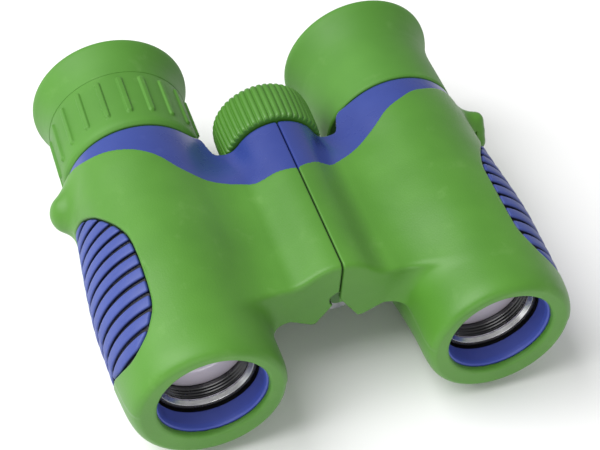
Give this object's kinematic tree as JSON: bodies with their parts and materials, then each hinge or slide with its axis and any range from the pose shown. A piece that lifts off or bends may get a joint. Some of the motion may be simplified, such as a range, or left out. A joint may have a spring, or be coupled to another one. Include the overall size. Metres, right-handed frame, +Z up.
{
  "type": "handheld folding binoculars",
  "caption": "Compact children's binoculars with rubber armour, a central folding hinge, a ribbed focus wheel and a dioptre ring on the right eyepiece.",
  "frame": {"origin": "middle of the length and width, on the surface it lies on", "axes": "-Y is the viewing direction, from the eyecups to the objectives; +X is the user's left barrel; +Z is up with the focus wheel on top"},
  "size_m": [0.1204, 0.107, 0.0446],
  "materials": {
    "green_armour": "soft-touch matt",
    "green_eyecup": "matt",
    "green_control": "satin",
    "blue_shell": "fine textured",
    "blue_grip": "matt, ribbed",
    "optical_glass": "coated",
    "brass": "turned",
    "bright_ring": "bright turned",
    "steel": "zinc plated",
    "black_plastic": "matt"
  },
  "bodies": {
    "left_half": {"left_chassis": "black_plastic", "left_body_shell": "blue_shell", "left_armour": "green_armour", "left_grip": "blue_grip", "left_front_ring": "blue_shell", "left_prism_holder": "black_plastic", "left_roof_prism": "optical_glass", "left_entry_prism": "optical_glass", "left_prism_clip": "steel", "left_eyepiece_tube": "black_plastic", "left_field_stop": "black_plastic", "left_field_lens": "optical_glass", "left_eye_lens": "optical_glass", "left_eye_lens_ring": "black_plastic", "left_eyecup": "green_eyecup", "hinge_pin": "steel", "hinge_pin_screw": "steel", "hinge_bush": "black_plastic"},
    "right_half": {"right_chassis": "black_plastic", "right_body_shell": "blue_shell", "right_armour": "green_armour", "right_grip": "blue_grip", "right_front_ring": "blue_shell", "right_prism_holder": "black_plastic", "right_roof_prism": "optical_glass", "right_entry_prism": "optical_glass", "right_prism_clip": "steel"},
    "focus_drive": {"focus_wheel": "green_control", "focus_screw": "brass", "wheel_cap": "green_control"},
    "left_focus_carriage": {"focus_nut": "brass", "left_focus_arm": "steel", "left_objective_cell": "black_plastic", "left_crown_lens": "optical_glass", "left_flint_lens": "optical_glass", "left_lens_retainer": "bright_ring"},
    "right_focus_carriage": {"right_focus_arm": "steel", "right_objective_cell": "black_plastic", "right_crown_lens": "optical_glass", "right_flint_lens": "optical_glass", "right_lens_retainer": "bright_ring"},
    "diopter_control": {"diopter_ring": "green_control"},
    "right_eyepiece": {"right_eyepiece_tube": "black_plastic", "right_field_stop": "black_plastic", "right_field_lens": "optical_glass", "right_eye_lens": "optical_glass", "right_eye_lens_ring": "black_plastic", "right_eyecup": "green_eyecup"}
  },
  "joints": [
    {"name": "fold", "type": "hinge", "parent": "left_half", "child": "right_half", "pos_m": [0, 0, 0.02794], "axis": [0, -1, 0], "range_deg": [0, 64]},
    {"name": "focus_turn", "type": "hinge", "parent": "left_half", "child": "focus_drive", "pos_m": [0, 0.0255, 0.02794], "axis": [0, 1, 0], "range_deg": [-30, 240]},
    {"name": "left_focus_slide", "type": "slide", "parent": "left_half", "child": "left_focus_carriage", "axis": [0, -1, 0], "range_m": [-0.00021, 0.00161]},
    {"name": "right_focus_slide", "type": "slide", "parent": "right_half", "child": "right_focus_carriage", "axis": [0, -1, 0], "range_m": [-0.00021, 0.00161]},
    {"name": "diopter_turn", "type": "hinge", "parent": "right_half", "child": "diopter_control", "pos_m": [-0.0362, 0.0345, 0.02314], "axis": [0, 1, 0], "range_deg": [-60, 60]},
    {"name": "diopter_slide", "type": "slide", "parent": "right_half", "child": "right_eyepiece", "axis": [0, 1, 0], "range_m": [-0.00081, 0.00081]}
  ],
  "couplings": [
    {"joint": "left_focus_slide", "follows": "focus_turn", "m_per_rad": 0.00038197},
    {"joint": "right_focus_slide", "follows": "focus_turn", "m_per_rad": 0.00038197},
    {"joint": "diopter_slide", "follows": "diopter_turn", "m_per_rad": 0.00076394}
  ]
}
